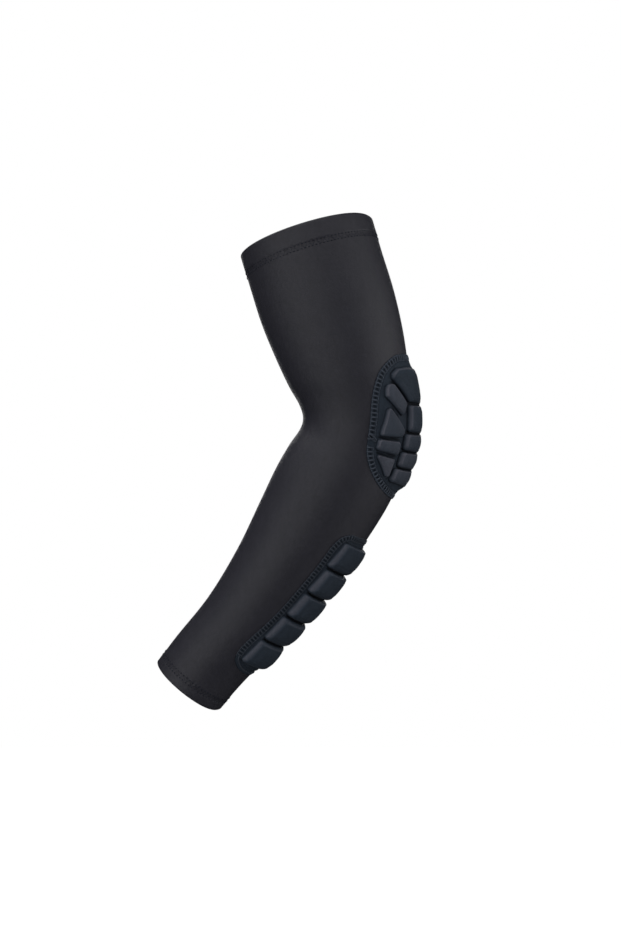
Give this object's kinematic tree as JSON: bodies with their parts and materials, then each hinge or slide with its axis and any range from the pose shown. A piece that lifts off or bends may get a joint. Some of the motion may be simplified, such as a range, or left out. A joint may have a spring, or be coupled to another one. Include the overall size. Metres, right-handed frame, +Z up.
{
  "type": "padded arm sleeve",
  "caption": "Close-fitting knitted arm sleeve, bent at the elbow, with segmented foam pads over the elbow and along the back of the forearm, and folded hems at both openings.",
  "frame": {"origin": "middle of the upper opening, where the upper arm goes in", "axes": "+Z up with the upper arm above the bent forearm, +X towards the back of the elbow, +Y to the far side of the arm"},
  "size_m": [0.198, 0.1, 0.3683],
  "materials": {
    "sleeve_knit": "smooth stretch knit, faint sheen",
    "pad_cloth": "thin knit moulded over foam",
    "thread": "matte overlock thread"
  },
  "bodies": {
    "root": {"sleeve": "sleeve_knit", "elbow_backing": "pad_cloth", "elbow_block_crown": "pad_cloth", "elbow_block_spine_1": "pad_cloth", "elbow_block_spine_2": "pad_cloth", "elbow_block_spine_3": "pad_cloth", "elbow_block_spine_4": "pad_cloth", "elbow_block_near_1": "pad_cloth", "elbow_block_near_2": "pad_cloth", "elbow_block_near_3": "pad_cloth", "elbow_block_near_4": "pad_cloth", "elbow_block_far_1": "pad_cloth", "elbow_block_far_2": "pad_cloth", "elbow_block_far_3": "pad_cloth", "elbow_block_far_4": "pad_cloth", "forearm_backing": "pad_cloth", "forearm_block_1": "pad_cloth", "forearm_block_2": "pad_cloth", "forearm_block_3": "pad_cloth", "forearm_block_4": "pad_cloth", "forearm_block_5": "pad_cloth"}
  },
  "joints": []
}
